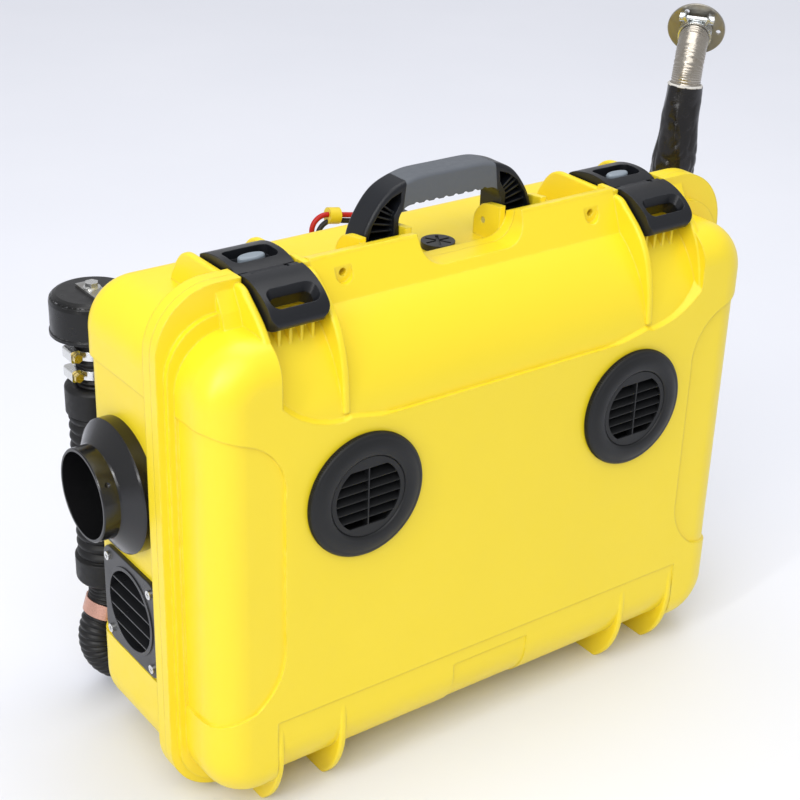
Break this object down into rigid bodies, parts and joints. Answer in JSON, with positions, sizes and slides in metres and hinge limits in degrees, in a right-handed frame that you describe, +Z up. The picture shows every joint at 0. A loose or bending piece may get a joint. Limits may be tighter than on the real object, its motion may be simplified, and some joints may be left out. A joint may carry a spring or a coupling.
{
  "type": "diesel air heater",
  "caption": "Portable diesel air heater built into a hinged yellow carrying case with side hot air outlet, lid vents, intake silencer and rising exhaust.",
  "frame": {"origin": "on the floor under the middle of the whole", "axes": "+Z up, X along the case with the hot air outlet at -X, the lid and its vents face -Y"},
  "size_m": [0.7637, 0.3193, 0.6395],
  "materials": {
    "case_yellow": "fine moulded texture, slight gloss",
    "seal_rubber": "matt",
    "pin_steel": "satin",
    "valve_black": "satin",
    "latch_dark": "satin",
    "button_grey": "satin",
    "handle_black": "satin",
    "grip_rubber": "matt",
    "vent_black": "satin",
    "stub_black": "semi gloss",
    "grille_black": "satin enamel",
    "screw_zinc": "bright zinc",
    "can_enamel": "satin black enamel",
    "bracket_steel": "zinc plated, dull",
    "neck_rubber": "satin",
    "band_steel": "bright",
    "screw_yellow": "yellow passivated zinc",
    "hose_rubber": "satin",
    "band_copper": "bare copper",
    "grommet_rubber": "matt",
    "pipe_stainless": "spiral wound",
    "sleeve_black": "coated glass cloth, glossy",
    "disc_steel": "dull",
    "clamp_zinc": "zinc",
    "plate_steel": "satin",
    "casing_black": "satin",
    "cast_alloy": "as cast",
    "plug_steel": "satin",
    "motor_steel": "satin",
    "rotor_steel": "machined",
    "wheel_black": "matt",
    "mount_rubber": "matt",
    "duct_silver": "foil faced",
    "air_hose_black": "matt",
    "fitting_brass": "machined",
    "pump_steel": "satin",
    "holder_rubber": "matt",
    "fuel_nylon": "translucent look",
    "electronics_black": "satin",
    "knob_grey": "satin",
    "gland_black": "satin",
    "lead_red": "satin",
    "lead_black": "satin",
    "band_yellow": "satin"
  },
  "bodies": {
    "base": {"base_half": "case_yellow", "lid_seal": "seal_rubber", "hinge_pins": "pin_steel", "handle_pins": "pin_steel", "relief_valve": "valve_black", "hot_air_stub": "stub_black", "side_grille": "grille_black", "panel_screws": "screw_zinc", "can_bolt": "screw_zinc", "intake_can": "can_enamel", "can_bracket": "bracket_steel", "intake_neck": "neck_rubber", "intake_silencer": "neck_rubber", "intake_clamps": "band_steel", "clamp_screws": "screw_yellow", "intake_hose": "hose_rubber", "hose_band": "band_copper", "intake_grommet": "grommet_rubber", "exhaust_pipe": "pipe_stainless", "exhaust_sleeve": "sleeve_black", "exhaust_flange": "disc_steel", "exhaust_clamp": "clamp_zinc", "exit_plate": "plate_steel", "casing_front": "casing_black", "casing_rear": "casing_black", "heat_exchanger": "cast_alloy", "burner_housing": "cast_alloy", "glow_plug": "plug_steel", "fan_motor": "motor_steel", "heater_mounts": "mount_rubber", "outlet_duct": "duct_silver", "air_hose": "air_hose_black", "fuel_fitting": "fitting_brass", "fuel_pump": "pump_steel", "pump_holder": "holder_rubber", "fuel_lines": "fuel_nylon", "control_unit": "electronics_black", "controller": "electronics_black", "power_gland": "gland_black", "power_connector": "gland_black", "lead_red": "lead_red", "lead_black": "lead_black", "lead_band": "band_yellow"},
    "lid": {"lid_half": "case_yellow", "vent_rings": "vent_black", "vent_nuts": "vent_black", "latch_pins": "pin_steel"},
    "vent_left": {"vent_grille_left": "vent_black"},
    "vent_right": {"vent_grille_right": "vent_black"},
    "handle": {"handle_frame": "handle_black", "handle_grip": "grip_rubber"},
    "rotor": {"burner_rotor": "rotor_steel", "blower_wheel": "wheel_black"},
    "knob": {"controller_knob": "knob_grey"},
    "latch_lever_left": {"latch_lever_left": "latch_dark"},
    "latch_link_left": {"latch_link_left": "latch_dark"},
    "latch_button_left": {"latch_button_left": "button_grey"},
    "latch_lever_right": {"latch_lever_right": "latch_dark"},
    "latch_link_right": {"latch_link_right": "latch_dark"},
    "latch_button_right": {"latch_button_right": "button_grey"}
  },
  "joints": [
    {"name": "lid_hinge", "type": "hinge", "parent": "base", "child": "lid", "pos_m": [-0.0315, -0.0745, 0.008], "axis": [1, 0, 0], "range_deg": [0, 90]},
    {"name": "handle_hinge", "type": "hinge", "parent": "base", "child": "handle", "pos_m": [-0.0315, -0.0395, 0.491], "axis": [-1, 0, 0], "range_deg": [0, 88]},
    {"name": "rotor_spin", "type": "hinge", "parent": "base", "child": "rotor", "pos_m": [0.0875, 0.0005, 0.2995], "axis": [1, 0, 0], "continuous": true},
    {"name": "knob_turn", "type": "hinge", "parent": "base", "child": "knob", "pos_m": [-0.1655, 0.0405, 0.418], "axis": [0, -1, 0], "range_deg": [0, 300]},
    {"name": "vent_turn_left", "type": "hinge", "parent": "lid", "child": "vent_left", "pos_m": [-0.1875, -0.1495, 0.3146], "axis": [0, -1, 0], "continuous": true},
    {"name": "latch_lift_left", "type": "hinge", "parent": "lid", "child": "latch_lever_left", "pos_m": [-0.23875, -0.0895, 0.491], "axis": [-1, 0, 0], "range_deg": [0, 50]},
    {"name": "latch_fold_left", "type": "hinge", "parent": "latch_lever_left", "child": "latch_link_left", "pos_m": [-0.23875, -0.0795, 0.505], "axis": [-1, 0, 0], "range_deg": [-70, 0]},
    {"name": "button_press_left", "type": "slide", "parent": "latch_link_left", "child": "latch_button_left", "axis": [0, 0, -1], "range_m": [0, 0.003], "stiffness_N_per_m": 400},
    {"name": "vent_turn_right", "type": "hinge", "parent": "lid", "child": "vent_right", "pos_m": [0.1245, -0.1495, 0.3146], "axis": [0, -1, 0], "continuous": true},
    {"name": "latch_lift_right", "type": "hinge", "parent": "lid", "child": "latch_lever_right", "pos_m": [0.17575, -0.0895, 0.491], "axis": [-1, 0, 0], "range_deg": [0, 50]},
    {"name": "latch_fold_right", "type": "hinge", "parent": "latch_lever_right", "child": "latch_link_right", "pos_m": [0.17575, -0.0795, 0.505], "axis": [-1, 0, 0], "range_deg": [-70, 0]},
    {"name": "button_press_right", "type": "slide", "parent": "latch_link_right", "child": "latch_button_right", "axis": [0, 0, -1], "range_m": [0, 0.003], "stiffness_N_per_m": 400}
  ],
  "couplings": [
    {"joint": "latch_fold_left", "follows": "latch_lift_left", "ratio": -1.4},
    {"joint": "latch_fold_right", "follows": "latch_lift_right", "ratio": -1.4}
  ]
}
